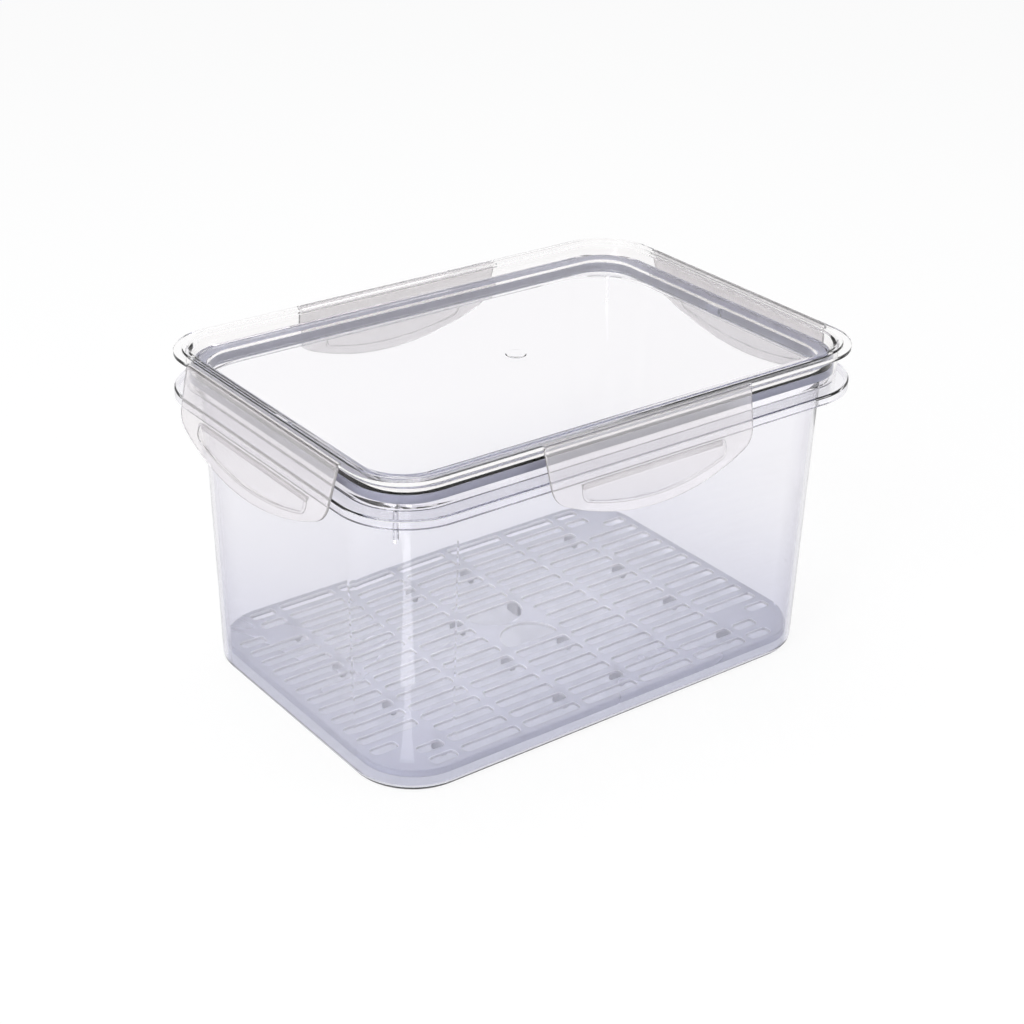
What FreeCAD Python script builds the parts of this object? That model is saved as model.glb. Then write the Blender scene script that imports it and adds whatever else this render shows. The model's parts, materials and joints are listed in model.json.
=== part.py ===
import FreeCAD, Part
import math
import os
from types import SimpleNamespace

import Sketcher

# Airtight food container with a drainer plate, millimetres, +Z up.
# The origin is the middle of the underside. X runs along the long side, Y along the short one.
# A clear container with a flanged rim, a slotted drainer standing on its floor, a clear lid with a
# silicone seal in its groove, and four snap wings hinged on the lid's edge.

os.makedirs("parts", exist_ok=True)
doc = FreeCAD.newDocument("airtight_container")
sheet = doc.addObject("Spreadsheet::Sheet", "Sizes")

DRIVING_SIZES = {
    # the container's rim, measured over its outer edge
    "rim_length": 284.0,
    "rim_width": 201.6,
    "rim_corner": 34.6,
    "rim_height": 146.6,
    "rim_plate": 2.0,
    "rim_edge_depth": 4.6,
    "rim_edge_wall": 2.0,
    "rim_bevel": 0.7,
    # the upright neck inside the rim, which the seal straddles
    "neck_inset": 9.4,
    "neck_wall": 1.8,
    "neck_height": 4.0,
    "neck_bevel": 0.5,
    # the body below the rim
    "base_inset": 12.7,
    "foot_height": 7.0,
    "base_corner": 31.8,
    "wall_top_inset": 9.2,
    "wall": 2.0,
    "floor": 2.2,
    "base_round": 5.0,
    "floor_bevel": 1.4,
    "gusset_depth": 13.6,
    "gusset_wall": 1.6,
    "gusset_reach": 4.2,
    # the drainer plate
    "drainer_end_gap": 1.9,
    "drainer_side_gap": 0.6,
    "drainer_corner": 27.5,
    "drainer_height": 9.0,
    "drainer_plate": 1.7,
    "drainer_edge_depth": 3.6,
    "drainer_edge_wall": 1.6,
    "drainer_bevel": 0.9,
    "foot_rib_width": 2.6,
    "foot_rib_length": 9.0,
    "foot_rib_pitch": 42.0,
    "slot_length": 31.0,
    "slot_width": 6.0,
    "slot_pitch_x": 35.2,
    "slot_pitch_y": 10.5,
    "short_slot": 13.0,
    "finger_length": 30.6,
    "finger_width": 17.8,
    "finger_bridge": 2.6,
    "finger_bow": 13.0,
    "cut_past": 1.0,
    # the lid, measured over its outer edge
    "lid_inset": 2.0,
    "lid_corner": 28.1,
    "lid_rise": 17.0,
    "lid_edge": 1.8,
    "bead_inset": 4.0,
    "bead_width": 3.0,
    "bead_rise": 0.9,
    "bead_bevel": 0.5,
    "panel_inset": 11.5,
    "panel_depth": 5.6,
    "panel": 1.8,
    "skirt_gap": 1.8,
    "skirt_wall": 1.5,
    "skirt_lift": 1.0,
    "plug_wall": 1.5,
    "plug_depth": 6.2,
    "gate_radius": 5.0,
    "gate_rise": 0.5,
    "gate_bevel": 0.3,
    # the silicone seal
    "seal_clearance": 0.3,
    "seal_inner_leg": 3.8,
    "seal_leg_depth": 2.2,
    "seal_lip_depth": 0.4,
    "seal_land": 2.0,
    "tab_width": 9.0,
    "tab_reach": 2.6,
    "tab_depth": 3.0,
    # the snap wings
    "hinge_inset": 0.1,
    "hinge_drop": 0.9,
    "hinge_radius": 0.8,
    "hinge_clearance": 0.3,
    "long_wing": 118.4,
    "short_wing": 128.6,
    "wing_plate": 1.4,
    "wing_flare": 13.5,
    "wing_side": 25.0,
    "wing_depth": 39.6,
    "wing_taper": 1.9,
    "wing_corner": 8.0,
    "grip_margin": 18.9,
    "grip_side": 6.0,
    "grip_depth": 12.6,
    "grip_recess": 0.7,
    "grip_wall": 1.2,
    "catch_clearance": 0.4,
    "catch_gap": 0.3,
    "catch_rib": 0.9,
    "catch_slope": 2.7,
    "brace_wall": 1.2,
    "brace_length": 8.0,
}


class Size:
    """A number from the sheet, or worked out from the sheet, that keeps its expression."""

    def __init__(self, number, text):
        self.number = number
        self.text = text

    def __add__(self, other):
        other = as_size(other)
        return Size(self.number + other.number, f"({self.text} + {other.text})")

    def __sub__(self, other):
        other = as_size(other)
        return Size(self.number - other.number, f"({self.text} - {other.text})")

    def __mul__(self, other):
        other = as_size(other)
        return Size(self.number * other.number, f"({self.text} * {other.text})")

    def __truediv__(self, other):
        other = as_size(other)
        return Size(self.number / other.number, f"({self.text} / {other.text})")

    def __neg__(self):
        return Size(-self.number, f"(0 - {self.text})")

    def tangent(self):
        return Size(math.tan(math.radians(self.number)), f"tan({self.text})")

    def root(self):
        return Size(math.sqrt(self.number), f"sqrt({self.text})")

    def sine(self):
        return Size(math.sin(math.radians(self.number)), f"sin({self.text})")

    def cosine(self):
        return Size(math.cos(math.radians(self.number)), f"cos({self.text})")


def as_size(value):
    return value if isinstance(value, Size) else Size(float(value), repr(float(value)))


for row, (name, number) in enumerate(DRIVING_SIZES.items(), start=1):
    sheet.set(f"A{row}", name)
    sheet.set(f"B{row}", repr(number))
    sheet.setAlias(f"B{row}", name)
doc.recompute()
s = SimpleNamespace(**{name: Size(number, f"Sizes.{name}") for name, number in DRIVING_SIZES.items()})
ZERO = as_size(0)


# General helpers

def bind(thing, path, size):
    """Ties one property of a feature to the sheet."""
    thing.setExpression(path, size.text)


def base_plane(body, role):
    return next(item for item in body.Origin.OriginFeatures if item.Role == role)


def new_body(name):
    body = doc.addObject("PartDesign::Body", name)
    body.Label = name
    return body


def new_sketch(body, name, role="XY_Plane", lift=ZERO, shift=ZERO, tilt=None):
    """A sketch on one of the body's own planes, lifted off it, and tilted about its x axis."""
    sketch = body.newObject("Sketcher::SketchObject", name)
    sketch.AttachmentSupport = [(base_plane(body, role), "")]
    sketch.MapMode = "FlatFace"
    turn = FreeCAD.Rotation(FreeCAD.Vector(1, 0, 0), tilt.number if tilt else 0)
    sketch.AttachmentOffset = FreeCAD.Placement(FreeCAD.Vector(0, shift.number, lift.number), turn)
    bind(sketch, "AttachmentOffset.Base.y", shift)
    bind(sketch, "AttachmentOffset.Base.z", lift)
    if tilt:
        bind(sketch, "AttachmentOffset.Rotation.Angle", tilt)
    return sketch


def place(sketch, geometry, point, x, y):
    """Holds one point of the sketch at x and y from the sketch's origin."""
    for kind, size in (("DistanceX", x), ("DistanceY", y)):
        index = sketch.addConstraint(Sketcher.Constraint(kind, -1, 1, geometry, point, size.number))
        bind(sketch, f"Constraints[{index}]", size)


def set_radius(sketch, geometry, size):
    index = sketch.addConstraint(Sketcher.Constraint("Radius", geometry, size.number))
    bind(sketch, f"Constraints[{index}]", size)


def line(sketch, start, end):
    points = [FreeCAD.Vector(x, y, 0) for x, y in (start, end)]
    return sketch.addGeometry(Part.LineSegment(*points), False)


def arc(sketch, centre, radius, start_angle, end_angle):
    circle = Part.Circle(FreeCAD.Vector(*centre, 0), FreeCAD.Vector(0, 0, 1), radius)
    angles = (math.radians(start_angle), math.radians(end_angle))
    return sketch.addGeometry(Part.ArcOfCircle(circle, *angles), False)


def rounded_rectangle(sketch, half_x, half_y, corner):
    """Four sides and four quarter rounds about the sketch's origin."""
    x, y, r = half_x.number, half_y.number, corner.number
    sides = []
    rounds = []
    for turn in range(4):
        reach, across = (y, x) if turn % 2 == 0 else (x, y)
        quarter = FreeCAD.Rotation(FreeCAD.Vector(0, 0, 1), 90 * turn)
        start = quarter.multVec(FreeCAD.Vector(-(across - r), -reach, 0))
        end = quarter.multVec(FreeCAD.Vector(across - r, -reach, 0))
        centre = quarter.multVec(FreeCAD.Vector(across - r, -(reach - r), 0))
        sides.append(line(sketch, (start.x, start.y), (end.x, end.y)))
        rounds.append(arc(sketch, (centre.x, centre.y), r, 90 * turn - 90, 90 * turn))
    for turn in range(4):
        sketch.addConstraint(Sketcher.Constraint("Tangent", sides[turn], 2, rounds[turn], 1))
        sketch.addConstraint(Sketcher.Constraint("Tangent", rounds[turn], 2, sides[(turn + 1) % 4], 1))
        direction = "Horizontal" if turn % 2 == 0 else "Vertical"
        sketch.addConstraint(Sketcher.Constraint(direction, sides[turn]))
        if turn:
            sketch.addConstraint(Sketcher.Constraint("Equal", rounds[0], rounds[turn]))
    set_radius(sketch, rounds[0], corner)
    for side, kind, size in ((0, "DistanceY", -half_y), (1, "DistanceX", half_x),
                             (2, "DistanceY", half_y), (3, "DistanceX", -half_x)):
        index = sketch.addConstraint(Sketcher.Constraint(kind, -1, 1, sides[side], 1, size.number))
        bind(sketch, f"Constraints[{index}]", size)


def polygon(sketch, corners):
    """A closed outline of straight sides, each corner at its own bound place."""
    count = len(corners)
    sides = []
    for index, (x, y) in enumerate(corners):
        next_x, next_y = corners[(index + 1) % count]
        sides.append(line(sketch, (x.number, y.number), (next_x.number, next_y.number)))
    for index, (x, y) in enumerate(corners):
        sketch.addConstraint(Sketcher.Constraint("Coincident", sides[index - 1], 2, sides[index], 1))
        place(sketch, sides[index], 1, as_size(x), as_size(y))


def long_hole(sketch, centre_x, centre_y, length, width):
    """A straight-sided hole along the sketch's x axis."""
    end = length / 2
    high = width / 2
    outline = [(-end, -high), (end, -high), (end, high), (-end, high)]
    polygon(sketch, [(centre_x + x, centre_y + y) for x, y in outline])


def pad(body, name, sketch, length, reverse=False, midplane=False):
    feature = body.newObject("PartDesign::Pad", name)
    feature.Profile = sketch
    feature.Length = length.number
    bind(feature, "Length", length)
    feature.Reversed = reverse
    if midplane:
        feature.Midplane = True
    return feature


def pocket(body, name, sketch, length, reverse=False, refine=True):
    feature = body.newObject("PartDesign::Pocket", name)
    feature.Profile = sketch
    feature.Length = length.number
    bind(feature, "Length", length)
    feature.Reversed = reverse
    feature.Refine = refine
    return feature


def loft(body, name, kind, sketches):
    feature = body.newObject(f"PartDesign::{kind}", name)
    feature.Profile = sketches[0]
    feature.Sections = sketches[1:]
    feature.Ruled = True
    return feature


def multiply(body, name, original, steps):
    """Repeats a feature along X and Y, and mirrors it, as the steps say."""
    moves = []
    for number, (kind, role, count, pitch) in enumerate(steps):
        move = body.newObject(f"PartDesign::{kind}", f"{name}_{number}")
        if kind == "LinearPattern":
            move.Direction = (base_plane(body, role), [""])
            move.Occurrences = count
            move.Length = (pitch * (count - 1)).number
            bind(move, "Length", pitch * (count - 1))
        else:
            move.MirrorPlane = (base_plane(body, role), [""])
        moves.append(move)
    grid = body.newObject("PartDesign::MultiTransform", name)
    grid.Originals = [original]
    grid.Transformations = moves
    grid.Refine = False
    body.Tip = grid
    return grid


def round_edges(body, name, wanted, radius):
    """Fillets every edge of the body so far that the test picks."""
    doc.recompute()
    base = body.Tip
    edges = [f"Edge{number}" for number, edge in enumerate(base.Shape.Edges, start=1) if wanted(edge)]
    feature = body.newObject("PartDesign::Fillet", name)
    feature.Base = (base, edges)
    feature.Radius = radius.number
    bind(feature, "Radius", radius)
    return feature


def bevel_edges(body, name, wanted, size):
    """Cuts a 45 degree bevel along every edge of the body so far that the test picks."""
    doc.recompute()
    base = body.Tip
    edges = [f"Edge{number}" for number, edge in enumerate(base.Shape.Edges, start=1) if wanted(edge)]
    feature = body.newObject("PartDesign::Chamfer", name)
    feature.Base = (base, edges)
    feature.Size = size.number
    bind(feature, "Size", size)
    return feature


def level_edge(height, least_x=0.0, most_x=1e6):
    """Picks the edges of a level loop whose outermost x lies between two limits."""
    tolerance = 0.01

    def wanted(edge):
        box = edge.BoundBox
        level = abs(box.ZMin - height) < tolerance and abs(box.ZMax - height) < tolerance
        # the loop's reach in x, found from the edge itself whichever side it lies on
        side = max(abs(box.XMin), abs(box.XMax))
        far = max(abs(box.YMin), abs(box.YMax))
        return level and least_x <= max(side, far + SIDE_DIFFERENCE) <= most_x
    return wanted


# Places that several pieces share
rim_x = s.rim_length / 2
rim_y = s.rim_width / 2
SIDE_DIFFERENCE = rim_x.number - rim_y.number
DIAGONAL = math.sqrt(0.5)
lid_x = rim_x - s.lid_inset
lid_y = rim_y - s.lid_inset
base_x = rim_x - s.base_inset
base_y = rim_y - s.base_inset
rim_foot = s.rim_height - s.rim_edge_depth
plate_foot = s.rim_height - s.rim_plate
neck_top = s.rim_height + s.neck_height
lid_top = s.rim_height + s.lid_rise
bead_top = lid_top + s.bead_rise
panel_top = lid_top - s.panel_depth
panel_foot = panel_top - s.panel
seal_top = panel_foot - s.seal_land
neck_inner = s.neck_inset + s.neck_wall
wall_growth = s.base_inset - s.wall_top_inset
skirt_inner = s.neck_inset - s.skirt_gap
seal_outer = skirt_inner + s.seal_clearance
seal_inner = neck_inner + s.seal_clearance + s.seal_inner_leg
hinge_height = lid_top - s.hinge_drop


def rim_loop(sketch, inset):
    """A loop that follows the rim's outline at a constant distance inside it."""
    rounded_rectangle(sketch, rim_x - inset, rim_y - inset, s.rim_corner - inset)


def lid_loop(sketch, inset):
    """A loop that follows the lid's outline at a constant distance inside it."""
    rounded_rectangle(sketch, lid_x - inset, lid_y - inset, s.lid_corner - inset)


def make_container():
    body = new_body("container")
    # an upright foot with a rounded underside, and the walls that taper outwards above it
    ground = new_sketch(body, "foot_outline")
    rounded_rectangle(ground, base_x, base_y, s.base_corner)
    pad(body, "foot", ground, s.foot_height)
    round_edges(body, "base_round", level_edge(0.0), s.base_round)
    low = new_sketch(body, "walls_low", lift=s.foot_height)
    rounded_rectangle(low, base_x, base_y, s.base_corner)
    high = new_sketch(body, "walls_high", lift=plate_foot)
    rounded_rectangle(high, base_x + wall_growth, base_y + wall_growth, s.base_corner + wall_growth)
    loft(body, "walls", "AdditiveLoft", [low, high])
    # the rim: a flat plate, its turned-down edge and the neck that stands on it
    plate = new_sketch(body, "rim_plate_outline", lift=plate_foot)
    rim_loop(plate, ZERO)
    pad(body, "rim_plate", plate, s.rim_plate)
    edge = new_sketch(body, "rim_edge_outline", lift=rim_foot)
    rim_loop(edge, ZERO)
    rim_loop(edge, s.rim_edge_wall)
    pad(body, "rim_edge", edge, s.rim_edge_depth - s.rim_plate)
    neck = new_sketch(body, "neck_outline", lift=s.rim_height)
    rim_loop(neck, s.neck_inset)
    pad(body, "neck", neck, s.neck_height)
    # a stiffening web under the rim at each corner
    web = new_sketch(body, "gusset_outline", lift=plate_foot - s.gusset_depth)
    corner_x = base_x - s.base_corner
    corner_y = base_y - s.base_corner
    reach_in = (s.base_corner + wall_growth - s.wall) * DIAGONAL
    reach_out = (s.base_corner + wall_growth + s.gusset_reach) * DIAGONAL
    half_web = s.gusset_wall / 2 * DIAGONAL
    polygon(web, [(corner_x + reach_in + half_web, corner_y + reach_in - half_web),
                  (corner_x + reach_out + half_web, corner_y + reach_out - half_web),
                  (corner_x + reach_out - half_web, corner_y + reach_out + half_web),
                  (corner_x + reach_in - half_web, corner_y + reach_in + half_web)])
    one_web = pad(body, "gusset", web, s.gusset_depth + s.rim_plate / 2)
    multiply(body, "gussets", one_web, [("Mirrored", "XZ_Plane", 2, None),
                                        ("Mirrored", "YZ_Plane", 2, None)])
    # the hollow, cut the same way from the floor up, and the mouth inside the neck
    inner_foot = new_sketch(body, "hollow_foot_outline", lift=s.floor)
    rounded_rectangle(inner_foot, base_x - s.wall, base_y - s.wall, s.base_corner - s.wall)
    pocket(body, "hollow_foot", inner_foot, s.foot_height - s.floor, reverse=True)
    inner_low = new_sketch(body, "hollow_low", lift=s.foot_height)
    rounded_rectangle(inner_low, base_x - s.wall, base_y - s.wall, s.base_corner - s.wall)
    inner_high = new_sketch(body, "hollow_high", lift=plate_foot)
    inner_growth = wall_growth - s.wall
    rounded_rectangle(inner_high, base_x + inner_growth, base_y + inner_growth, s.base_corner + inner_growth)
    loft(body, "hollow", "SubtractiveLoft", [inner_low, inner_high])
    throat = new_sketch(body, "throat_outline", lift=plate_foot)
    rounded_rectangle(throat, base_x + inner_growth, base_y + inner_growth, s.base_corner + inner_growth)
    pocket(body, "throat", throat, s.rim_plate, reverse=True)
    mouth = new_sketch(body, "mouth_outline", lift=s.rim_height)
    rim_loop(mouth, neck_inner)
    pocket(body, "mouth", mouth, s.neck_height, reverse=True)
    bevel_edges(body, "floor_bevel", level_edge(s.floor.number), s.floor_bevel)
    bevel_edges(body, "rim_bevel", level_edge(s.rim_height.number, least_x=rim_x.number - 0.1), s.rim_bevel)
    bevel_edges(body, "neck_bevel", level_edge(neck_top.number), s.neck_bevel)
    return body


def make_drainer():
    body = new_body("drainer")
    half_x = base_x - s.wall - s.drainer_end_gap
    half_y = base_y - s.wall - s.drainer_side_gap
    top = s.floor + s.drainer_height
    block = new_sketch(body, "drainer_outline", lift=top)
    rounded_rectangle(block, half_x, half_y, s.drainer_corner)
    pad(body, "drainer_block", block, s.drainer_edge_depth, reverse=True)
    bevel_edges(body, "drainer_bevel", level_edge(top.number), s.drainer_bevel)
    under = new_sketch(body, "drainer_under", lift=top - s.drainer_edge_depth)
    rounded_rectangle(under, half_x - s.drainer_edge_wall, half_y - s.drainer_edge_wall,
                      s.drainer_corner - s.drainer_edge_wall)
    pocket(body, "drainer_hollow", under, s.drainer_edge_depth - s.drainer_plate, reverse=True)
    # short ribs under the bars between the columns of slots, which stand on the floor
    rib = new_sketch(body, "foot_rib_outline", lift=s.floor)
    bar_x = s.slot_pitch_x / 2
    rib_y = s.foot_rib_pitch / 2
    across = s.foot_rib_width / 2
    along = s.foot_rib_length / 2
    polygon(rib, [(bar_x - across, rib_y - along), (bar_x + across, rib_y - along),
                  (bar_x + across, rib_y + along), (bar_x - across, rib_y + along)])
    one_rib = pad(body, "foot_rib", rib, s.drainer_height - s.drainer_plate / 2)
    multiply(body, "foot_ribs", one_rib, [("LinearPattern", "X_Axis", 2, s.slot_pitch_x * 2),
                                          ("LinearPattern", "Y_Axis", 2, s.foot_rib_pitch),
                                          ("Mirrored", "XZ_Plane", 2, None),
                                          ("Mirrored", "YZ_Plane", 2, None)])
    # two finger holes, round sides towards each other
    both_ways = [("Mirrored", "XZ_Plane", 2, None), ("Mirrored", "YZ_Plane", 2, None)]
    grip = new_sketch(body, "finger_outline", lift=top)
    finger_hole(grip)
    first = pocket(body, "finger_hole_first", grip, s.drainer_plate + s.cut_past, refine=False)
    multiply(body, "finger_holes", first, both_ways[:1])
    # slots in seven columns and sixteen rows, shorter or missing at the corners
    half_row = s.slot_pitch_y / 2
    outer = s.slot_pitch_x * 3
    end_shift = s.slot_length / 2 - s.short_slot / 2
    families = (
        ("edge_slots", outer + end_shift, half_row + s.slot_pitch_y * 5, s.short_slot, both_ways),
        ("corner_slots", outer - end_shift, half_row + s.slot_pitch_y * 6, s.short_slot,
         [("LinearPattern", "Y_Axis", 2, s.slot_pitch_y)] + both_ways),
        ("middle_slots", ZERO, half_row + s.slot_pitch_y * 2, s.slot_length,
         [("LinearPattern", "Y_Axis", 6, s.slot_pitch_y)] + both_ways[:1]),
        ("end_slots", outer, half_row, s.slot_length,
         [("LinearPattern", "Y_Axis", 5, s.slot_pitch_y)] + both_ways),
        ("side_slots", s.slot_pitch_x, half_row, s.slot_length,
         [("LinearPattern", "X_Axis", 2, s.slot_pitch_x),
          ("LinearPattern", "Y_Axis", 8, s.slot_pitch_y)] + both_ways),
    )
    for name, x, y, length, steps in families:
        hole = new_sketch(body, f"{name}_outline", lift=top)
        long_hole(hole, x, y, length, s.slot_width)
        first = pocket(body, f"{name}_first", hole, s.drainer_plate + s.cut_past, refine=False)
        multiply(body, name, first, steps)
    return body


def finger_hole(sketch):
    """A D-shaped hole above the middle: a flat far side and a bowed near side."""
    near = s.finger_bridge / 2
    flat = near + s.finger_width
    half = s.finger_length / 2
    sag = s.finger_bow
    shoulder = near + sag
    bow = (half * half + sag * sag) / (sag * 2)
    centre_y = near + bow
    angle = math.degrees(math.asin(half.number / bow.number))
    low = arc(sketch, (0, centre_y.number), bow.number, 270 - angle, 270 + angle)
    right = line(sketch, (half.number, shoulder.number), (half.number, flat.number))
    top = line(sketch, (half.number, flat.number), (-half.number, flat.number))
    left = line(sketch, (-half.number, flat.number), (-half.number, shoulder.number))
    for first, second in ((low, right), (right, top), (top, left), (left, low)):
        sketch.addConstraint(Sketcher.Constraint("Coincident", first, 2, second, 1))
    set_radius(sketch, low, bow)
    place(sketch, right, 1, half, shoulder)
    place(sketch, top, 1, half, flat)
    place(sketch, top, 2, -half, flat)
    place(sketch, left, 2, -half, shoulder)


def make_lid():
    body = new_body("lid")
    # the dished wall: a loft whose inside is cut by a second loft one wall away
    slope = (s.panel_inset - s.bead_inset - s.bead_width) / (s.panel_depth + s.bead_rise)
    low_inset = s.panel_inset + slope * s.panel - s.panel * (slope * slope + 1).root()
    wall_foot = new_sketch(body, "lid_wall_foot", lift=panel_foot)
    lid_loop(wall_foot, low_inset)
    wall_head = new_sketch(body, "lid_wall_head", lift=lid_top)
    lid_loop(wall_head, low_inset - slope * (s.panel_depth + s.panel))
    loft(body, "lid_wall", "AdditiveLoft", [wall_foot, wall_head])
    edge = new_sketch(body, "lid_edge_outline", lift=lid_top)
    lid_loop(edge, ZERO)
    pad(body, "lid_edge", edge, s.lid_edge, reverse=True)
    bead = new_sketch(body, "lid_bead_outline", lift=lid_top)
    lid_loop(bead, s.bead_inset)
    pad(body, "lid_bead", bead, s.bead_rise)
    dish_foot = new_sketch(body, "dish_foot", lift=panel_top)
    lid_loop(dish_foot, s.panel_inset)
    dish_head = new_sketch(body, "dish_head", lift=bead_top)
    lid_loop(dish_head, s.bead_inset + s.bead_width)
    loft(body, "dish", "SubtractiveLoft", [dish_foot, dish_head])
    # the skirt outside the neck and the plug inside it hold the seal between them
    skirt_foot = s.rim_height + s.skirt_lift
    skirt = new_sketch(body, "skirt_outline", lift=skirt_foot)
    rim_loop(skirt, skirt_inner - s.skirt_wall)
    rim_loop(skirt, skirt_inner)
    pad(body, "skirt", skirt, lid_top - s.lid_edge / 2 - skirt_foot)
    # the seal's land below the dish, and the plug at its inner edge
    land = new_sketch(body, "seal_land_outline", lift=seal_top)
    rim_loop(land, seal_outer + s.seal_clearance * 2)
    rim_loop(land, seal_inner + s.plug_wall)
    pad(body, "seal_land", land, s.seal_land + s.panel / 2)
    plug = new_sketch(body, "plug_outline", lift=panel_foot + s.panel / 2)
    rim_loop(plug, seal_inner)
    rim_loop(plug, seal_inner + s.plug_wall)
    pad(body, "plug", plug, s.plug_depth + s.panel / 2, reverse=True)
    # a gap in the plug for each pull tab of the seal
    gap = new_sketch(body, "tab_gap_outline", lift=seal_top)
    gap_x = rim_x - seal_inner
    half_gap = s.tab_width / 2 + s.seal_clearance * 2
    for side in (1, -1):
        near = (gap_x + s.seal_clearance) * side
        far = (gap_x - s.plug_wall - s.seal_clearance) * side
        polygon(gap, [(near, -half_gap), (near, half_gap), (far, half_gap), (far, -half_gap)])
    pocket(body, "tab_gaps", gap, s.plug_depth + s.cut_past)
    # the raised gate mark in the middle of the panel
    gate = new_sketch(body, "gate_outline", lift=panel_top)
    centre = gate.addGeometry(Part.Circle(FreeCAD.Vector(), FreeCAD.Vector(0, 0, 1), s.gate_radius.number), False)
    gate.addConstraint(Sketcher.Constraint("Coincident", centre, 3, -1, 1))
    set_radius(gate, centre, s.gate_radius)
    pad(body, "gate_mark", gate, s.gate_rise)
    bevel_edges(body, "gate_bevel", level_edge((panel_top + s.gate_rise).number), s.gate_bevel)
    # the edge steps back behind each wing's hinge
    notch = new_sketch(body, "hinge_notch_outline", lift=lid_top)
    depth = s.hinge_inset + s.hinge_radius + s.hinge_clearance
    long_half = s.long_wing / 2 + s.hinge_clearance
    short_half = s.short_wing / 2 + s.hinge_clearance
    past = depth
    for side in (1, -1):
        y_in, y_out = (lid_y - depth) * side, (lid_y + past) * side
        polygon(notch, [(-long_half, y_in), (long_half, y_in), (long_half, y_out), (-long_half, y_out)])
        x_in, x_out = (lid_x - depth) * side, (lid_x + past) * side
        polygon(notch, [(x_in, -short_half), (x_out, -short_half), (x_out, short_half), (x_in, short_half)])
    pocket(body, "hinge_notches", notch, s.lid_edge)
    bevel_edges(body, "bead_bevel", level_edge(bead_top.number), s.bead_bevel)
    return body


def make_gasket():
    body = new_body("gasket")
    # a flat top under the lid's land, a deep leg inside the neck and a shallow lip outside it
    web_foot = neck_top + s.seal_clearance
    leg_foot = web_foot - s.seal_leg_depth
    lip_foot = web_foot - s.seal_lip_depth
    ring = new_sketch(body, "seal_outline", lift=lip_foot)
    rim_loop(ring, seal_outer)
    rim_loop(ring, seal_inner)
    pad(body, "seal_ring", ring, seal_top - lip_foot)
    leg = new_sketch(body, "seal_leg_outline", lift=leg_foot)
    rim_loop(leg, neck_inner + s.seal_clearance)
    rim_loop(leg, seal_inner)
    pad(body, "seal_leg", leg, seal_top - leg_foot)
    groove = new_sketch(body, "seal_groove_outline", lift=lip_foot)
    rim_loop(groove, s.neck_inset - s.seal_clearance)
    rim_loop(groove, neck_inner + s.seal_clearance)
    pocket(body, "seal_groove", groove, s.seal_lip_depth, reverse=True)
    # the pull tabs at the middle of the short sides
    tab = new_sketch(body, "tab_outline", lift=seal_top)
    half = s.tab_width / 2
    for side in (1, -1):
        root = (rim_x - seal_inner + s.seal_clearance) * side
        tip = (rim_x - seal_inner - s.tab_reach) * side
        polygon(tab, [(root, -half), (root, half), (tip, half), (tip, -half)])
    pad(body, "pull_tabs", tab, s.tab_depth, reverse=True)
    return body


def make_wing(name, length):
    """A snap wing in its own frame: the hinge's axis is X, outwards is -Y, down is -Z."""
    body = new_body(name)
    half = length / 2
    inner = s.wing_plate / 2
    lean = -s.wing_flare
    # the round hinge bead, drawn end on
    bead = new_sketch(body, f"{name}_bead_outline", "YZ_Plane")
    circle = Part.Circle(FreeCAD.Vector(), FreeCAD.Vector(0, 0, 1), s.hinge_radius.number)
    ring = bead.addGeometry(circle, False)
    bead.addConstraint(Sketcher.Constraint("Coincident", ring, 3, -1, 1))
    set_radius(bead, ring, s.hinge_radius)
    pad(body, f"{name}_bead", bead, length, midplane=True)
    # the flared plate, drawn in its own leaning plane
    plate = new_sketch(body, f"{name}_plate_outline", "XZ_Plane", tilt=lean)
    wing_outline(plate, half)
    pad(body, f"{name}_plate", plate, s.wing_plate, midplane=True)
    round_edges(body, f"{name}_corners", wing_corner_edge(half), s.wing_corner)
    # the grip: a D-shaped swelling inside, with the catch along its straight top
    catch_top, catch_tip, catch_root = catch_place()
    grip_top = catch_top / s.wing_flare.cosine()
    grip_half = half - s.grip_margin
    swell = new_sketch(body, f"{name}_swell_outline", "XZ_Plane", tilt=lean)
    grip_outline(swell, grip_half + s.grip_wall, grip_top, s.grip_side, s.grip_depth + s.grip_wall)
    pad(body, f"{name}_swell", swell, inner + s.grip_recess, reverse=True)
    catch = new_sketch(body, f"{name}_catch_outline", "YZ_Plane")
    polygon(catch, [(catch_tip, catch_top), (catch_root, catch_top),
                    (catch_root, catch_top - s.catch_rib - s.catch_slope), (catch_tip, catch_top - s.catch_rib)])
    pad(body, f"{name}_catch", catch, grip_half * 2, midplane=True)
    # the matching dish outside
    dish = new_sketch(body, f"{name}_dish_outline", "XZ_Plane", lift=inner * s.wing_flare.cosine(),
                      shift=inner * s.wing_flare.sine(), tilt=lean)
    grip_outline(dish, grip_half, grip_top, s.grip_side, s.grip_depth)
    pocket(body, f"{name}_dish", dish, s.grip_recess)
    # a small upright brace inside each end of the plate
    brace = new_sketch(body, f"{name}_brace_outline", "YZ_Plane", lift=half - s.wing_taper - s.brace_wall)
    foot = -s.hinge_radius - s.hinge_clearance * 2 - s.brace_length
    foot_face = foot * s.wing_flare.tangent()
    head = -s.hinge_radius - s.hinge_clearance * 2
    head_face = head * s.wing_flare.tangent()
    polygon(brace, [(head_face, head), (head_face + s.wing_plate, head), (foot_face + inner, foot),
                    (foot_face, foot)])
    first = pad(body, f"{name}_brace", brace, s.brace_wall)
    multiply(body, f"{name}_braces", first, [("Mirrored", "YZ_Plane", 2, None)])
    return body


def wing_corner_edge(half):
    """Picks the plate's two lower corners, which run through its thickness."""
    corner = (half - s.wing_taper).number
    tolerance = 0.01

    def wanted(edge):
        box = edge.BoundBox
        return abs(abs(box.Center.x) - corner) < tolerance and box.XLength < tolerance
    return wanted


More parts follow.
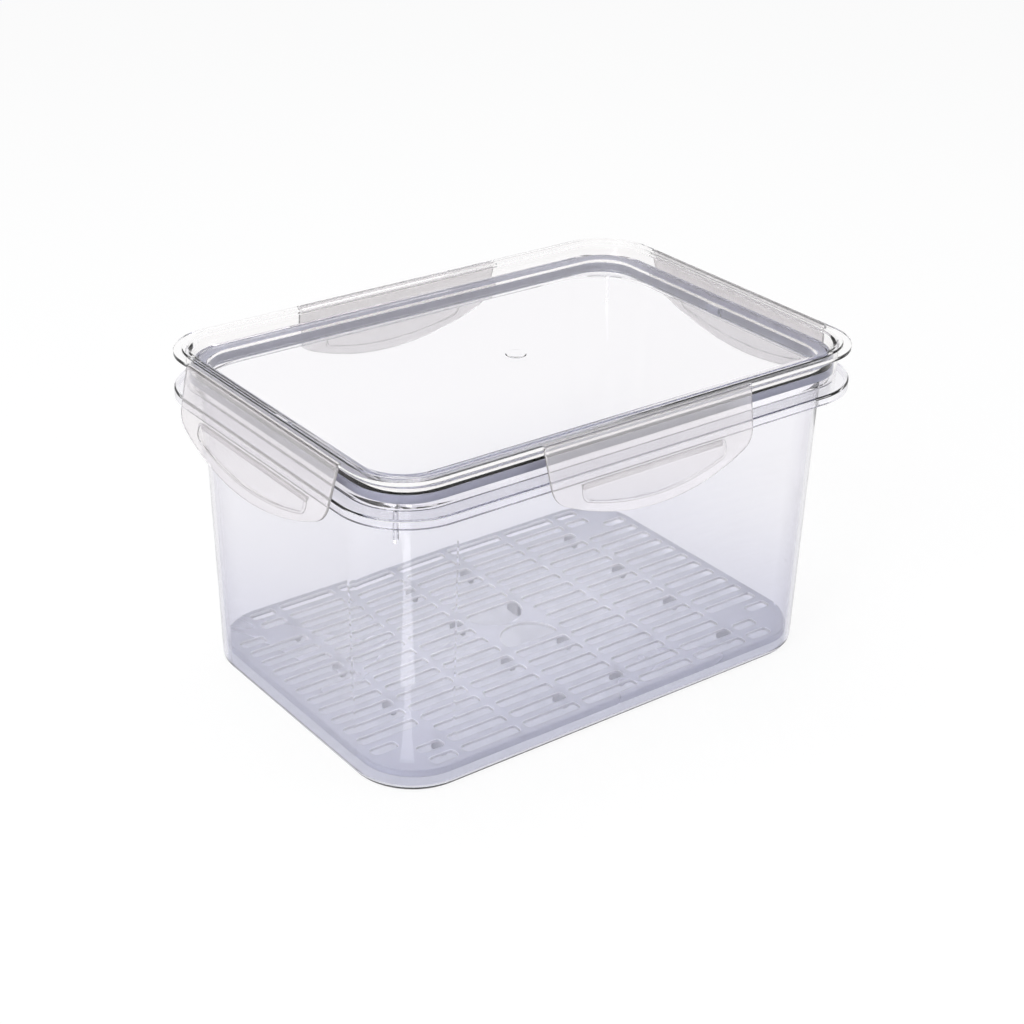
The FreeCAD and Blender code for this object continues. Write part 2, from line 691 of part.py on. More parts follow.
def catch_place():
    """The catch's top, tip and root from the hinge: just below and just outside the rim's edge."""
    top = rim_foot - s.catch_clearance - hinge_height
    tip = -(s.catch_gap + s.lid_inset + s.hinge_inset)
    root = top * s.wing_flare.tangent()
    return top, tip, root


def bowed_outline(sketch, head_half, side_half, top, side, depth):
    """Straight top and ends, and one shallow bow along the lower edge."""
    shoulder = top - side
    bow_drop = depth - side
    radius = (side_half * side_half + bow_drop * bow_drop) / (bow_drop * 2)
    centre_y = top.number - depth.number + radius.number
    angle = math.degrees(math.asin(side_half.number / radius.number))
    x, low, high = side_half.number, shoulder.number, top.number
    head = line(sketch, (-head_half.number, high), (head_half.number, high))
    right = line(sketch, (head_half.number, high), (x, low))
    bow = arc(sketch, (0, centre_y), radius.number, 270 - angle, 270 + angle)
    left = line(sketch, (-x, low), (-head_half.number, high))
    sketch.addConstraint(Sketcher.Constraint("Coincident", head, 2, right, 1))
    sketch.addConstraint(Sketcher.Constraint("Coincident", right, 2, bow, 2))
    sketch.addConstraint(Sketcher.Constraint("Coincident", bow, 1, left, 1))
    sketch.addConstraint(Sketcher.Constraint("Coincident", left, 2, head, 1))
    place(sketch, head, 1, -head_half, top)
    place(sketch, head, 2, head_half, top)
    place(sketch, right, 2, side_half, shoulder)
    place(sketch, left, 1, -side_half, shoulder)
    set_radius(sketch, bow, radius)


def wing_outline(sketch, half):
    bowed_outline(sketch, half, half - s.wing_taper, ZERO, s.wing_side, s.wing_depth)


def grip_outline(sketch, half, top, side, depth):
    bowed_outline(sketch, half, half, top, side, depth)


def put_wing(body, turn, out):
    """Moves a wing's hinge to the lid's edge and turns the wing to its side."""
    spin = FreeCAD.Rotation(FreeCAD.Vector(0, 0, 1), turn)
    place_at = spin.multVec(FreeCAD.Vector(0, -out.number, 0))
    body.Placement = FreeCAD.Placement(FreeCAD.Vector(place_at.x, place_at.y, hinge_height.number), spin)
    bind(body, "Placement.Base.z", hinge_height)
    if turn in (0, 180):
        bind(body, "Placement.Base.y", -out if turn == 0 else out)
    else:
        bind(body, "Placement.Base.x", out if turn == 90 else -out)


def opposite_wing(name, source, normal):
    """The same wing on the other side of the container."""
    mirror = doc.addObject("Part::Mirroring", name)
    mirror.Label = name
    mirror.Source = source
    mirror.Base = FreeCAD.Vector(0, 0, 0)
    mirror.Normal = normal
    mirror.Placement = FreeCAD.Placement()
    return mirror


pieces = [make_container(), make_drainer(), make_lid(), make_gasket()]
front = make_wing("wing_front", s.long_wing)
put_wing(front, 0, lid_y - s.hinge_inset)
left = make_wing("wing_left", s.short_wing)
put_wing(left, -90, lid_x - s.hinge_inset)
pieces += [front, left]
pieces.append(opposite_wing("wing_back", front, FreeCAD.Vector(0, 1, 0)))
pieces.append(opposite_wing("wing_right", left, FreeCAD.Vector(1, 0, 0)))
doc.recompute()

for item in doc.Objects:
    faults = {"Invalid", "Error"} & set(item.State)
    if faults:
        raise RuntimeError(f"{item.Label} failed: {sorted(faults)}")
for piece in pieces:
    shape = piece.Shape
    if shape.isNull() or not shape.isValid() or not shape.Solids:
        raise RuntimeError(f"{piece.Label} has no sound shape")
    shape.exportStep(f"parts/{piece.Label}.step")
    box = shape.BoundBox
    print(f"{piece.Label}: {len(shape.Solids)} solid, {shape.Volume / 1000:.1f} cm3, "
          f"x {box.XMin:.1f}..{box.XMax:.1f}, y {box.YMin:.1f}..{box.YMax:.1f}, "
          f"z {box.ZMin:.1f}..{box.ZMax:.1f}")
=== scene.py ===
# %% [markdown]
# A clear food keeper, dressed for its picture.
#
# The keeper is a tapered clear tub with a slotted drainer on its floor, a dished clear lid with a silicone
# seal, and four snap wings. Its solids come in as a fixed frame that already has the sizes and forms. The
# container keeps its own solid, the lid and the seal are shown by copies with rounded edges, and the
# drainer and the wings get finer pieces in the same places. Plastics, light and a camera do the rest.

# %% Load the frame
import json
import math

import bmesh
import bpy
from mathutils import Matrix, Vector


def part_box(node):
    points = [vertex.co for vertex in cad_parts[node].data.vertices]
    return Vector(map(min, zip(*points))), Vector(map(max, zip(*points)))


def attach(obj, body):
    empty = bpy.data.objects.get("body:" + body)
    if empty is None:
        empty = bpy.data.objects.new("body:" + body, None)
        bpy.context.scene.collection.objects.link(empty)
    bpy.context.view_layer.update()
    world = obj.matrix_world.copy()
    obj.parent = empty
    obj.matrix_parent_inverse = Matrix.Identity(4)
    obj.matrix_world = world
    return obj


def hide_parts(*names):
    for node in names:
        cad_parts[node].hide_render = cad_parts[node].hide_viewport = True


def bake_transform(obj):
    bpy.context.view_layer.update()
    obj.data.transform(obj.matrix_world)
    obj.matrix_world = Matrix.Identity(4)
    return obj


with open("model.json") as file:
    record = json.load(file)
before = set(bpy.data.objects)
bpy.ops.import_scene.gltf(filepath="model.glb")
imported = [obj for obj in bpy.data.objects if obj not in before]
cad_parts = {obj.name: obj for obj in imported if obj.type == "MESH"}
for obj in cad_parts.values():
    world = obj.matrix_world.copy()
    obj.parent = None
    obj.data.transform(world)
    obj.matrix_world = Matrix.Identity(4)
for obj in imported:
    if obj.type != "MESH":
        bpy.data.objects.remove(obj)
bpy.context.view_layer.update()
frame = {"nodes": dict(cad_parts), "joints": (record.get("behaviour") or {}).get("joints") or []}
MM = 0.001

# %% [markdown]
# Small helpers for node materials. Each adds one node or one link, so that the cells that build a
# material read like a list of what goes into it.

# %% Node helpers
def new_material(name):
    material = bpy.data.materials.new(name)
    material.use_nodes = True
    material.node_tree.nodes.clear()
    return material


def add(tree, kind, **settings):
    """Adds a node and sets its properties or, for names that it doesn't have, its inputs."""
    node = tree.nodes.new(kind)
    for name, value in settings.items():
        if hasattr(node, name):
            setattr(node, name, value)
        else:
            node.inputs[name.replace("_", " ")].default_value = value
    return node


def link(tree, source, target):
    tree.links.new(source, target)


def calculated(tree, operation, first, second):
    """A Math node fed by a socket and by another socket or a plain number; gives back its value."""
    node = add(tree, "ShaderNodeMath", operation=operation)
    link(tree, first, node.inputs[0])
    if isinstance(second, float):
        node.inputs[1].default_value = second
    else:
        link(tree, second, node.inputs[1])
    return node.outputs[0]


# %% [markdown]
# Injection-moulded plastic is never quite even: it has faint flow marks and a soft orange-peel
# ripple that bends reflections. One shader group makes both from noise on Object coordinates.
# Every plastic in the scene places it with its own scale and strength.

# %% The moulding group
def moulding_group():
    group = bpy.data.node_groups.new("moulded_surface", "ShaderNodeTree")
    ports = group.interface
    for name, value in (("Ripple Scale", 60.0), ("Flow Scale", 9.0), ("Roughness Low", 0.05),
                        ("Roughness High", 0.12)):
        socket = ports.new_socket(name, in_out="INPUT", socket_type="NodeSocketFloat")
        socket.default_value = value
    for name in ("Height", "Roughness", "Flow"):
        ports.new_socket(name, in_out="OUTPUT", socket_type="NodeSocketFloat")
    start = add(group, "NodeGroupInput")
    end = add(group, "NodeGroupOutput")
    place = add(group, "ShaderNodeTexCoord")
    ripple = add(group, "ShaderNodeTexNoise", Detail=1.0)
    flow = add(group, "ShaderNodeTexNoise", Detail=3.0, Distortion=0.6)
    link(group, place.outputs["Object"], ripple.inputs["Vector"])
    link(group, place.outputs["Object"], flow.inputs["Vector"])
    link(group, start.outputs["Ripple Scale"], ripple.inputs["Scale"])
    link(group, start.outputs["Flow Scale"], flow.inputs["Scale"])
    rough = add(group, "ShaderNodeMapRange")
    link(group, flow.outputs["Fac"], rough.inputs["Value"])
    link(group, start.outputs["Roughness Low"], rough.inputs["To Min"])
    link(group, start.outputs["Roughness High"], rough.inputs["To Max"])
    link(group, ripple.outputs["Fac"], end.inputs["Height"])
    link(group, rough.outputs["Result"], end.inputs["Roughness"])
    link(group, flow.outputs["Fac"], end.inputs["Flow"])
    return group


MOULDING = moulding_group()
print("group:", MOULDING.name, "with", len(MOULDING.nodes), "nodes")


def moulded_surface(tree, ripple, roughness):
    """Places the group with a finish's own ripple and its lowest and highest roughness."""
    surface = add(tree, "ShaderNodeGroup", node_tree=MOULDING)
    surface.inputs["Ripple Scale"].default_value = ripple
    surface.inputs["Roughness Low"].default_value = roughness[0]
    surface.inputs["Roughness High"].default_value = roughness[1]
    return surface


# %% [markdown]
# Clear plastic takes its tint from how much of it the light goes through. The container's tint is made
# deeper towards its floor as painted shade and painted reflection, standing in for the drainer and the
# surroundings that darken its lower walls, and deepest in the floor itself as a painted shadow under the
# drainer.
# Object coordinates give the height for that, which stays with the piece when it moves.

# %% Painted shade that deepens towards the floor
PAINTED_SHADE_FADES_AT = 100 * MM
FLOOR_SHADOW_TOP = 3 * MM


def tint_and_painted_shade_by_height(tree, low_tint_and_shade, high_colour, floor_shadow_colour):
    """One colour low down, another higher up, a smooth change between, and perhaps one for the floor."""
    place = add(tree, "ShaderNodeTexCoord")
    axes = add(tree, "ShaderNodeSeparateXYZ")
    link(tree, place.outputs["Object"], axes.inputs["Vector"])
    # On the container the low colour is painted shade and painted reflection of the drainer and
    # surroundings.
    level = add(tree, "ShaderNodeMapRange", interpolation_type="SMOOTHSTEP")
    level.inputs["From Max"].default_value = PAINTED_SHADE_FADES_AT
    link(tree, axes.outputs["Z"], level.inputs["Value"])
    colour = add(tree, "ShaderNodeMix", data_type="RGBA")
    colour.inputs["A"].default_value = (*low_tint_and_shade, 1.0)
    colour.inputs["B"].default_value = (*high_colour, 1.0)
    link(tree, level.outputs["Result"], colour.inputs["Factor"])
    if floor_shadow_colour is None:
        return colour.outputs["Result"]
    # The floor colour is a painted shadow under the drainer.
    in_floor_shadow = calculated(tree, "LESS_THAN", axes.outputs["Z"], FLOOR_SHADOW_TOP)
    floor_shadow = add(tree, "ShaderNodeMix", data_type="RGBA")
    floor_shadow.inputs["B"].default_value = (*floor_shadow_colour, 1.0)
    link(tree, in_floor_shadow, floor_shadow.inputs["Factor"])
    link(tree, colour.outputs["Result"], floor_shadow.inputs["A"])
    return floor_shadow.outputs["Result"]


# %% [markdown]
# A thin wall seen face on is nearly invisible. Seen from the side it is looked through for longer and
# is darkened much further by painted shade, which draws the outline of every wall and wing. Layer
# Weight's Facing gives that angle. It stays in the material, because a group couldn't pass it on to
# the export.

# %% Painted shade on a face seen from the side
SIDE_SHADE_STARTS, SIDE_SHADE_ENDS = 0.35, 0.9


def side_on_tint(tree, colour, shade_colour):
    # Partly the longer path through the plastic, mostly painted shade that draws dark outlines.
    facing = add(tree, "ShaderNodeLayerWeight", Blend=0.5)
    amount = add(tree, "ShaderNodeMapRange")
    amount.inputs["From Min"].default_value = SIDE_SHADE_STARTS
    amount.inputs["From Max"].default_value = SIDE_SHADE_ENDS
    link(tree, facing.outputs["Facing"], amount.inputs["Value"])
    mix = add(tree, "ShaderNodeMix", data_type="RGBA", blend_type="MULTIPLY")
    mix.inputs["B"].default_value = (*shade_colour, 1.0)
    link(tree, amount.outputs["Result"], mix.inputs["Factor"])
    link(tree, colour, mix.inputs["A"])
    return mix.outputs["Result"]


# %% [markdown]
# The plastics themselves are one Principled shader each. The container and the lid let all light
# through and bend it a little. The wings are faintly frosted, and the drainer is milky and satin. Its
# slot rims and ribs are a lighter plastic: a painted highlight on the rims and painted light on the ribs.
# The wings are faintly frosted, and the drainer is milky and satin, with
# brighter rims on its slots where the moulding is thin.

# %% Clear plastics
def clear_plastic(name, low, high, roughness, bump, transmission=1.0, ior=1.46, foot=None, side_on=None):
    material = new_material(name)
    tree = material.node_tree
    out = add(tree, "ShaderNodeOutputMaterial")
    shader = add(tree, "ShaderNodeBsdfPrincipled", IOR=ior)
    shader.inputs["Transmission Weight"].default_value = transmission
    surface = moulded_surface(tree, 60.0, roughness)
    colour = tint_and_painted_shade_by_height(tree, low, high, foot)
    # A side-on colour adds painted shade at the edges.
    if side_on is not None:
        colour = side_on_tint(tree, colour, side_on)
    link(tree, colour, shader.inputs["Base Color"])
    link(tree, surface.outputs["Roughness"], shader.inputs["Roughness"])
    bumps = add(tree, "ShaderNodeBump", Strength=bump, Distance=0.001)
    link(tree, surface.outputs["Height"], bumps.inputs["Height"])
    link(tree, bumps.outputs["Normal"], shader.inputs["Normal"])
    link(tree, shader.outputs["BSDF"], out.inputs["Surface"])
    print("material:", name)
    return material


def even_plastic(name, colour, roughness, bump, **finish):
    """A plastic whose tint is the same at every height."""
    return clear_plastic(name, colour, colour, roughness, bump, **finish)


# The body's low colour is painted shade and reflection, its foot colour a painted shadow under the
# drainer, and its side-on colour painted shade at its edges.
CLEAR_BODY_WITH_PAINTED_SHADE = clear_plastic("clear_body_plastic_painted_shade", (0.845, 0.845, 0.905), (0.965, 0.96, 0.98), (0.02, 0.05),
                           0.03, ior=1.33, foot=(0.76, 0.77, 0.84), side_on=(0.72, 0.71, 0.75))
CLEAR_LID = even_plastic("clear_lid_plastic", (0.985, 0.978, 0.978), (0.02, 0.05), 0.03, ior=1.22)
# The wings' side-on colour is painted shade that draws their outlines.
WING_PLASTIC_EDGE_SHADE = even_plastic("wing_plastic", (0.95, 0.93, 0.94), (0.06, 0.1), 0.05,
                            transmission=0.8, ior=1.45, side_on=(0.42, 0.40, 0.42))
DRAINER_PLASTIC = even_plastic("drainer_plastic", (0.83, 0.84, 0.92), (0.2, 0.32), 0.08, transmission=0.5)
# A lighter plastic: a painted highlight on the drainer's slot rims and painted light on its shaded ribs.
DRAINER_PAINTED_HIGHLIGHT = even_plastic("drainer_painted_highlight_plastic", (0.97, 0.97, 1.0), (0.1, 0.2), 0.05, transmission=0.3)


# %% [markdown]
# The seal is grey-blue silicone: soft, satin and translucent. Its shade drifts a little along the ring
# with the same flow noise that drives its roughness, as poured rubber does.

# %% Silicone
def silicone(name, colour):
    material = new_material(name)
    tree = material.node_tree
    out = add(tree, "ShaderNodeOutputMaterial")
    shader = add(tree, "ShaderNodeBsdfPrincipled", IOR=1.41)
    shader.inputs["Transmission Weight"].default_value = 0.45
    surface = moulded_surface(tree, 140.0, (0.3, 0.42))
    shade = add(tree, "ShaderNodeMix", data_type="RGBA")
    shade.inputs["A"].default_value = (*colour, 1.0)
    shade.inputs["B"].default_value = (*[c * 1.15 for c in colour], 1.0)
    link(tree, surface.outputs["Flow"], shade.inputs["Factor"])
    link(tree, shade.outputs["Result"], shader.inputs["Base Color"])
    link(tree, surface.outputs["Roughness"], shader.inputs["Roughness"])
    link(tree, shader.outputs["BSDF"], out.inputs["Surface"])
    print("material:", name)
    return material


SILICONE = silicone("seal_silicone", (0.43, 0.44, 0.56))

# %% [markdown]
# The container keeps its own solid, whose corners are already smooth, so it only needs its plastic.

# %% Container
container = frame["nodes"]["container"]
container.data.materials.clear()
container.data.materials.append(CLEAR_BODY_WITH_PAINTED_SHADE)
print("container:", len(container.data.polygons), "faces")

# %% [markdown]
# A finished piece is joined to the scene, stands for a solid of the frame and moves with its body.

# %% Joining a piece to the scene
def new_piece(mesh, name, materials):
    """Turns a bmesh into an object at the origin with its materials in order."""
    data = bpy.data.meshes.new(name)
    mesh.to_mesh(data)
    mesh.free()
    for material in materials:
        data.materials.append(material)
    piece = bpy.data.objects.new(name, data)
    bpy.context.scene.collection.objects.link(piece)
    print(name, len(data.polygons), "faces")
    return piece


def stand_for(piece, node, body):
    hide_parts(node)
    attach(piece, body)


# %% [markdown]
# A moulded edge is never knife-sharp. The lid and the seal are shown by copies whose loose triangles
# are merged and whose edges get a small round from a Bevel modifier, because those rounds catch the
# light as soft bright lines. Where the seal lies against the lid, two clear faces in one place would
# confuse the light and render black, so the seal's copy draws back there by a hair.

# %% Lid and seal
HAIR = 0.12 * MM
SEAL_TOP = 154.1 * MM
UPRIGHT = 0.01


def part_from_lid(mesh):
    """Draws the seal's top and its inward faces back by a hair."""
    mesh.normal_update()
    inward = {}
    for face in mesh.faces:
        middle = face.calc_center_median()
        if abs(face.normal.z) < UPRIGHT and face.normal.xy.dot(middle.xy) < 0:
            for vert in face.verts:
                inward[vert] = inward.get(vert, Vector()) + face.normal
    for vert, normal in inward.items():
        vert.co -= normal.normalized() * HAIR
    for vert in mesh.verts:
        if vert.co.z > SEAL_TOP:
            vert.co.z -= HAIR


def rounded_copy(node, name, material, width, reshape=None):
    mesh = bmesh.new()
    mesh.from_mesh(frame["nodes"][node].data)
    bmesh.ops.remove_doubles(mesh, verts=mesh.verts, dist=1e-6)
    if reshape is not None:
        reshape(mesh)
    bmesh.ops.dissolve_limit(mesh, angle_limit=math.radians(0.3), verts=mesh.verts, edges=mesh.edges)
    for face in mesh.faces:
        face.smooth = True
    piece = new_piece(mesh, name, (material,))
    rounds = piece.modifiers.new("edge_rounds", "BEVEL")
    rounds.width = width
    rounds.segments = 2
    rounds.limit_method = "ANGLE"
    rounds.angle_limit = math.radians(35)
    rounds.use_clamp_overlap = True
    shading = piece.modifiers.new("even_shading", "WEIGHTED_NORMAL")
    shading.keep_sharp = False
    stand_for(piece, node, "lid")


rounded_copy("lid", "lid_shell", CLEAR_LID, 0.3 * MM)
rounded_copy("gasket", "seal_ring", SILICONE, 0.4 * MM, part_from_lid)

# %% [markdown]
# The drainer and the wings are plates with holes or hollows in them. A Boolean would leave ragged
# faces round so many holes, so each plate is skinned from closed loops. A loop is grown or shrunk a
# little at each height, which gives every edge its round, the loops are bridged, and the flat faces
# between them are filled at the end.

# %% Loops
def arc(centre, radius, start, end, steps):
    """Points on an arc, angles in degrees."""
    angles = [math.radians(start + (end - start) * i / steps) for i in range(steps + 1)]
    return [(centre[0] + radius * math.cos(a), centre[1] + radius * math.sin(a)) for a in angles]


def rounded_box(half_x, half_y, corner, centre=(0.0, 0.0), steps=5):
    points = []
    for turn, side_x, side_y in ((0, 1, 1), (90, -1, 1), (180, -1, -1), (270, 1, -1)):
        middle = (centre[0] + side_x * (half_x - corner), centre[1] + side_y * (half_y - corner))
        points += arc(middle, corner, turn, turn + 90, steps)
    return points


def grown(loop, amount):
    """A convex loop moved outwards by an amount, or inwards where the amount is negative."""
    moved = []
    for i, (x, y) in enumerate(loop):
        (last_x, last_y), (next_x, next_y) = loop[i - 1], loop[(i + 1) % len(loop)]
        first = Vector((y - last_y, last_x - x)).normalized()
        second = Vector((next_y - y, x - next_x)).normalized()
        out = (first + second).normalized()
        reach = amount / max(out.dot(first), 0.5)
        moved.append((x + out.x * reach, y + out.y * reach))
    return moved


def level_rings(loop, profile):
    """One ring for each (growth, height) of a profile."""
    return [[(x, y, z) for x, y in grown(loop, growth)] for growth, z in profile]


# %% [markdown]
# Three operators turn loops into a closed surface: bridge_loops joins one ring to the next,
# triangle_fill closes a flat face round its holes, and recalc_face_normals turns all faces outwards.

# %% Skins and caps
SHARP_ABOVE = math.radians(60)


def closed_loop(mesh, points):
    verts = [mesh.verts.new(point) for point in points]
    return [mesh.edges.new((verts[i - 1], vert)) for i, vert in enumerate(verts)]


def skin(mesh, rings, material=0):
    """Bridges each ring of points to the next; gives back the edges of the first and the last ring."""
    loops = [closed_loop(mesh, ring) for ring in rings]
    for low, high in zip(loops, loops[1:]):
        bridge = bmesh.ops.bridge_loops(mesh, edges=low + high)
        for face in bridge["faces"]:
            face.material_index = material
    return loops[0], loops[-1]


def cap(mesh, *edge_loops):
    """Fills the flat face between an outline and its holes."""
    edges = [edge for loop in edge_loops for edge in loop]
    bmesh.ops.triangle_fill(mesh, use_beauty=True, use_dissolve=False, edges=edges)


def finish_piece(mesh, name, materials, body, node):
    """Smooth rounds, flat flats and crisp corners."""
    bmesh.ops.recalc_face_normals(mesh, faces=mesh.faces)
    for face in mesh.faces:
        face.smooth = True
    for edge in mesh.edges:
        edge.smooth = len(edge.link_faces) == 2 and edge.calc_face_angle() < SHARP_ABOVE
    piece = new_piece(mesh, name, materials)
    shading = piece.modifiers.new("flat_faces_stay_flat", "WEIGHTED_NORMAL")
    shading.keep_sharp = True
    stand_for(piece, node, body)


# %% [markdown]
# The drainer lifts wet food off the floor. Its slots stand in seven columns and sixteen rows. The
# outer columns are shorter at the corners, and the middle column leaves room for two finger holes
# back to back. One quarter is laid out and mirrored, so a set drops the copies on the middle lines.

# %% Drainer slots and finger holes
SLOT_LENGTH, SHORT_SLOT, SLOT_WIDTH, SLOT_CORNER = 31.0, 13.0, 6.0, 1.7
COLUMN_PITCH, ROW_PITCH = 35.2, 10.5
FINGER_HALF, FINGER_FAR, FINGER_CORNER = 15.3, 19.1, 2.5
FINGER_BOW, FINGER_BOW_CENTRE = 15.5, 16.8


def slot_places():
    """Centre and length of each slot in millimetres, in all four quarters."""
    outer = 3 * COLUMN_PITCH
    shift = (SLOT_LENGTH - SHORT_SLOT) / 2
    columns = (
        (outer + shift, (5,), SHORT_SLOT), (outer - shift, (6, 7), SHORT_SLOT),
        (0.0, range(2, 8), SLOT_LENGTH), (outer, range(5), SLOT_LENGTH),
        (COLUMN_PITCH, range(8), SLOT_LENGTH), (2 * COLUMN_PITCH, range(8), SLOT_LENGTH))
    places = set()
    for x, rows, length in columns:
        for row in rows:
            y = (row + 0.5) * ROW_PITCH
            places |= {(x * side_x + 0.0, y * side_y, length) for side_x in (-1, 1) for side_y in (-1, 1)}
    return sorted(places)


def finger_hole(side):
    """The D of a finger hole: a bowed near side, a flat far side and two round corners."""
    corner_x, corner_y = FINGER_HALF - FINGER_CORNER, FINGER_FAR - FINGER_CORNER
    points = arc((0, FINGER_BOW_CENTRE), FINGER_BOW, 191, 349, 20)
    points += arc((corner_x, corner_y), FINGER_CORNER, 0, 90, 4)
    points += arc((-corner_x, corner_y), FINGER_CORNER, 90, 180, 4)
    return [(x * MM * side, y * MM * side) for x, y in points]


print("slots:", len(slot_places()))

# %% [markdown]
# The plate is one skin from the inside of its turned-down edge, round its foot and up to its bevelled
# top. Each hole is a second skin in a lighter plastic that paints a highlight on the slot rims, and the
# ribs take it too, as painted light against their shade under the plate. The ribs end a hair above the
# container's floor and below the plate, so that no two clear faces lie in one place. The sizes are
# those of the drainer's solid, written out in full, because the fill of so many holes is sensitive
# to the last digit of a size and folded over when it was measured from the frame.

# %% Drainer plate
PLATE_HALF_X, PLATE_HALF_Y, PLATE_CORNER = 125.4 * MM, 85.5 * MM, 27.5 * MM
PLATE_TOP, PLATE_FOOT, EDGE_FOOT, RIB_FOOT = 11.2 * MM, 9.5 * MM, 7.6 * MM, 2.2 * MM
EDGE_WALL, EDGE_BEVEL = 1.6 * MM, 0.9 * MM
SLOT_ROUND = 0.35 * MM


def drainer_outline_rings():
    outline = rounded_box(PLATE_HALF_X, PLATE_HALF_Y, PLATE_CORNER, steps=14)
    return level_rings(outline, [
        (-EDGE_WALL, PLATE_FOOT), (-EDGE_WALL, EDGE_FOOT), (0.0, EDGE_FOOT), (0.0, PLATE_TOP - EDGE_BEVEL),
        (-EDGE_BEVEL * 0.13, PLATE_TOP - EDGE_BEVEL * 0.5),
        (-EDGE_BEVEL * 0.5, PLATE_TOP - EDGE_BEVEL * 0.13), (-EDGE_BEVEL, PLATE_TOP)])


def hole_rings(hole):
    size = SLOT_ROUND
    return level_rings(hole, [
        (size * 0.5, PLATE_FOOT), (0.0, PLATE_FOOT + size * 0.5), (0.0, PLATE_TOP - size),
        (size * 0.3, PLATE_TOP - size * 0.3), (size, PLATE_TOP)])


def add_foot_ribs(mesh):
    foot, head = RIB_FOOT + 0.1 * MM, PLATE_FOOT - 0.05 * MM
    for column in (-2.5, -0.5, 0.5, 2.5):
        for row in (-6, -2, 2, 6):
            centre = (column * COLUMN_PITCH * MM, row * ROW_PITCH * MM)
            rib = rounded_box(1.3 * MM, 4.5 * MM, 0.4 * MM, centre, 2)
            # The ribs take the lighter plastic as painted light that offsets their shade under the plate.
            for end in skin(mesh, level_rings(rib, [(0.0, foot), (0.0, head)]), 1):
                cap(mesh, end)


def build_drainer():
    mesh = bmesh.new()
    outer = skin(mesh, drainer_outline_rings())
    holes = [rounded_box(length / 2 * MM, SLOT_WIDTH / 2 * MM, SLOT_CORNER * MM, (x * MM, y * MM), 3)
             for x, y, length in slot_places()]
    holes += [finger_hole(1), finger_hole(-1)]
    # The hole walls take the lighter plastic, a painted highlight on the slot rims.
    ends = [skin(mesh, hole_rings(hole), 1) for hole in holes]
    for level in (0, 1):
        cap(mesh, outer[level], *[end[level] for end in ends])
    add_foot_ribs(mesh)
    finish_piece(mesh, "drainer_plate_piece", (DRAINER_PLASTIC, DRAINER_PAINTED_HIGHLIGHT),
                 "container", "drainer")


build_drainer()

# %% [markdown]
# A snap wing has a straight head, a shallow bowed foot and round shoulders, and so has its grip. One
# function draws both in millimetres, X along the hinge and Y up.

# %% Bowed outlines
HEAD_ROUND = 1.2


def corner_curve(ends, t):
    """A point on a curve that starts and ends like the sides of a corner."""
    (ax, ay), (bx, by), (cx, cy) = ends
    start, middle, end = (1 - t) ** 2, 2 * t * (1 - t), t ** 2
    return (ax * start + bx * middle + cx * end, ay * start + by * middle + cy * end)


def bowed_loop(head_half, side_half, top, shoulder, foot, corner):
    """Straight head, straight ends, a shallow bow below and a round at each shoulder."""
    drop = shoulder - foot
    radius = (side_half ** 2 + drop ** 2) / (2 * drop)
    reach = math.degrees(math.asin((side_half - corner * 0.75) / radius))
    bow = arc((0.0, foot + radius), radius, 270 - reach, 270 + reach, 28)
    above = (side_half + (head_half - side_half) * 0.3, shoulder + corner * 0.8)
    right = [corner_curve((bow[-1], (side_half, shoulder), above), t / 6) for t in range(1, 7)]
    right += arc((head_half - HEAD_ROUND, top - HEAD_ROUND), HEAD_ROUND, 0, 90, 3)
    left = [(-x, y) for x, y in reversed(right)]
    return [(x * MM, y * MM) for x, y in bow + right + left]


def squeezed(loop, sides, head):
    """The loop drawn in from its ends and foot, and further from its head."""
    left, right = min(x for x, y in loop), max(x for x, y in loop)
    low, high = min(y for x, y in loop), max(y for x, y in loop)
    across = (right - left - 2 * sides) / (right - left)
    down = (high - low - sides - head) / (high - low)
    middle = (left + right) / 2
    return [(middle + (x - middle) * across, low + sides + (y - low) * down) for x, y in loop]


# %% [markdown]
# The wing's face has a D-shaped hollow for the fingertip, with a sloping upper side, and its back
# swells to match. It is drawn flat with Z outwards, and then leans out from its hinge.

# %% A wing's plate and grip
WING_LEAN = math.radians(13.5)
WING_SHOULDER, WING_FOOT, WING_CORNER, WING_TAPER = -25.0, -39.6, 8.0, 1.9
GRIP_TOP, GRIP_SHOULDER, GRIP_FOOT, GRIP_CORNER, GRIP_MARGIN = -21.7, -27.7, -34.3, 3.0, 18.9
WING_FACE, WING_ROUND = 0.7 * MM, 0.3 * MM


def plate_rings(half):
    plate = bowed_loop(half, half - WING_TAPER, 0.0, WING_SHOULDER, WING_FOOT, WING_CORNER)
    face, size = WING_FACE, WING_ROUND
    return level_rings(plate, [
        (-size, -face), (-size * 0.3, size * 0.3 - face), (0, size - face),
        (0, face - size), (-size * 0.3, face - size * 0.3), (-size, face)])


def hollow_rings(grip):
    face, size = WING_FACE, WING_ROUND
    rings = level_rings(grip, [
        (size, face), (size * 0.3, face - size * 0.3), (0.0, face - size), (-0.1 * MM, face - 0.9 * MM)])
    for sides, head, depth in ((0.8, 2.6, 0.45), (1.1, 3.0, 0.5)):
        rings.append([(x, y, -depth * MM) for x, y in squeezed(grip, sides * MM, head * MM)])
    return rings


def swell_rings(grip):
    return level_rings(grip, [(growth * MM, -WING_FACE - depth * MM)
                              for growth, depth in ((1.4, 0.0), (1.2, 0.2), (1.2, 0.5), (1.0, 0.7))])


